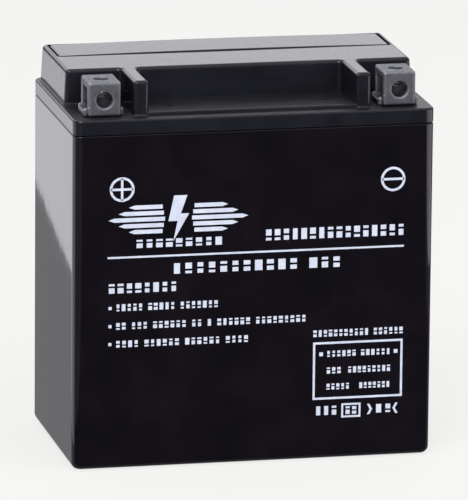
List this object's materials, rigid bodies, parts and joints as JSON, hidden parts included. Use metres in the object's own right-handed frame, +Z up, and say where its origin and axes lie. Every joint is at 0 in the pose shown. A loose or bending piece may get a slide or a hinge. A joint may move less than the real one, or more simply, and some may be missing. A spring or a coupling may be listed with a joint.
{
  "type": "motorcycle battery",
  "caption": "Sealed lead-acid motorcycle battery: black box case, stepped lid with a long flush cover plate, ribbed front bays and hollow lead block terminals with nuts.",
  "frame": {"origin": "centre of the base", "axes": "+Z up, +X along the case from the positive end to the negative end, -Y out of the printed front face"},
  "size_m": [0.15, 0.087, 0.161],
  "materials": {
    "case_plastic": "black moulded polypropylene, semi-gloss",
    "lid_plastic": "black moulded polypropylene, semi-gloss",
    "cover_plastic": "black moulded polypropylene, semi-gloss",
    "valve_rubber": "black moulded rubber, matte",
    "terminal_lead": "cast lead alloy, dull grey",
    "nut_zinc": "bright zinc plate",
    "post_lead": "cast lead alloy, dull grey",
    "ring_rubber": "black rubber, satin",
    "resin_positive": "red epoxy resin, glossy",
    "resin_negative": "blue epoxy resin, glossy",
    "positive_plate": "brown lead dioxide paste, matte",
    "negative_plate": "grey sponge lead paste, matte",
    "glass_mat": "white absorbent glass mat",
    "connector_lead": "welded lead, dull grey"
  },
  "bodies": {
    "battery": {"container": "case_plastic", "lid": "lid_plastic", "terminal_positive": "terminal_lead", "post_positive": "post_lead", "seal_ring_positive": "ring_rubber", "resin_seal_positive": "resin_positive", "terminal_negative": "terminal_lead", "post_negative": "post_lead", "seal_ring_negative": "ring_rubber", "resin_seal_negative": "resin_negative", "positive_plates_1": "positive_plate", "negative_plates_1": "negative_plate", "separator_1": "glass_mat", "positive_plates_2": "positive_plate", "negative_plates_2": "negative_plate", "separator_2": "glass_mat", "positive_plates_3": "positive_plate", "negative_plates_3": "negative_plate", "separator_3": "glass_mat", "positive_plates_4": "positive_plate", "negative_plates_4": "negative_plate", "separator_4": "glass_mat", "positive_plates_5": "positive_plate", "negative_plates_5": "negative_plate", "separator_5": "glass_mat", "positive_plates_6": "positive_plate", "negative_plates_6": "negative_plate", "separator_6": "glass_mat", "cell_connector_1": "connector_lead", "cell_connector_2": "connector_lead", "cell_connector_3": "connector_lead", "cell_connector_4": "connector_lead", "cell_connector_5": "connector_lead"},
    "vent_cover": {"vent_cover": "cover_plastic"},
    "valve_cap_1": {"valve_cap_1": "valve_rubber"},
    "valve_cap_2": {"valve_cap_2": "valve_rubber"},
    "valve_cap_3": {"valve_cap_3": "valve_rubber"},
    "valve_cap_4": {"valve_cap_4": "valve_rubber"},
    "valve_cap_5": {"valve_cap_5": "valve_rubber"},
    "valve_cap_6": {"valve_cap_6": "valve_rubber"},
    "nut_positive": {"nut_positive": "nut_zinc"},
    "nut_negative": {"nut_negative": "nut_zinc"}
  },
  "joints": [
    {"name": "cover_lift", "type": "slide", "parent": "battery", "child": "vent_cover", "axis": [0, 0, 1], "range_m": [0, 0.03]},
    {"name": "valve_lift_1", "type": "slide", "parent": "battery", "child": "valve_cap_1", "axis": [0, 0, 1], "range_m": [0, 0.0006], "stiffness_N_per_m": 400},
    {"name": "valve_lift_2", "type": "slide", "parent": "battery", "child": "valve_cap_2", "axis": [0, 0, 1], "range_m": [0, 0.0006], "stiffness_N_per_m": 400},
    {"name": "valve_lift_3", "type": "slide", "parent": "battery", "child": "valve_cap_3", "axis": [0, 0, 1], "range_m": [0, 0.0006], "stiffness_N_per_m": 400},
    {"name": "valve_lift_4", "type": "slide", "parent": "battery", "child": "valve_cap_4", "axis": [0, 0, 1], "range_m": [0, 0.0006], "stiffness_N_per_m": 400},
    {"name": "valve_lift_5", "type": "slide", "parent": "battery", "child": "valve_cap_5", "axis": [0, 0, 1], "range_m": [0, 0.0006], "stiffness_N_per_m": 400},
    {"name": "valve_lift_6", "type": "slide", "parent": "battery", "child": "valve_cap_6", "axis": [0, 0, 1], "range_m": [0, 0.0006], "stiffness_N_per_m": 400},
    {"name": "nut_slide_positive", "type": "slide", "parent": "battery", "child": "nut_positive", "axis": [-1, 0, 0], "range_m": [-0.006, 0.016]},
    {"name": "nut_slide_negative", "type": "slide", "parent": "battery", "child": "nut_negative", "axis": [1, 0, 0], "range_m": [-0.006, 0.016]}
  ]
}
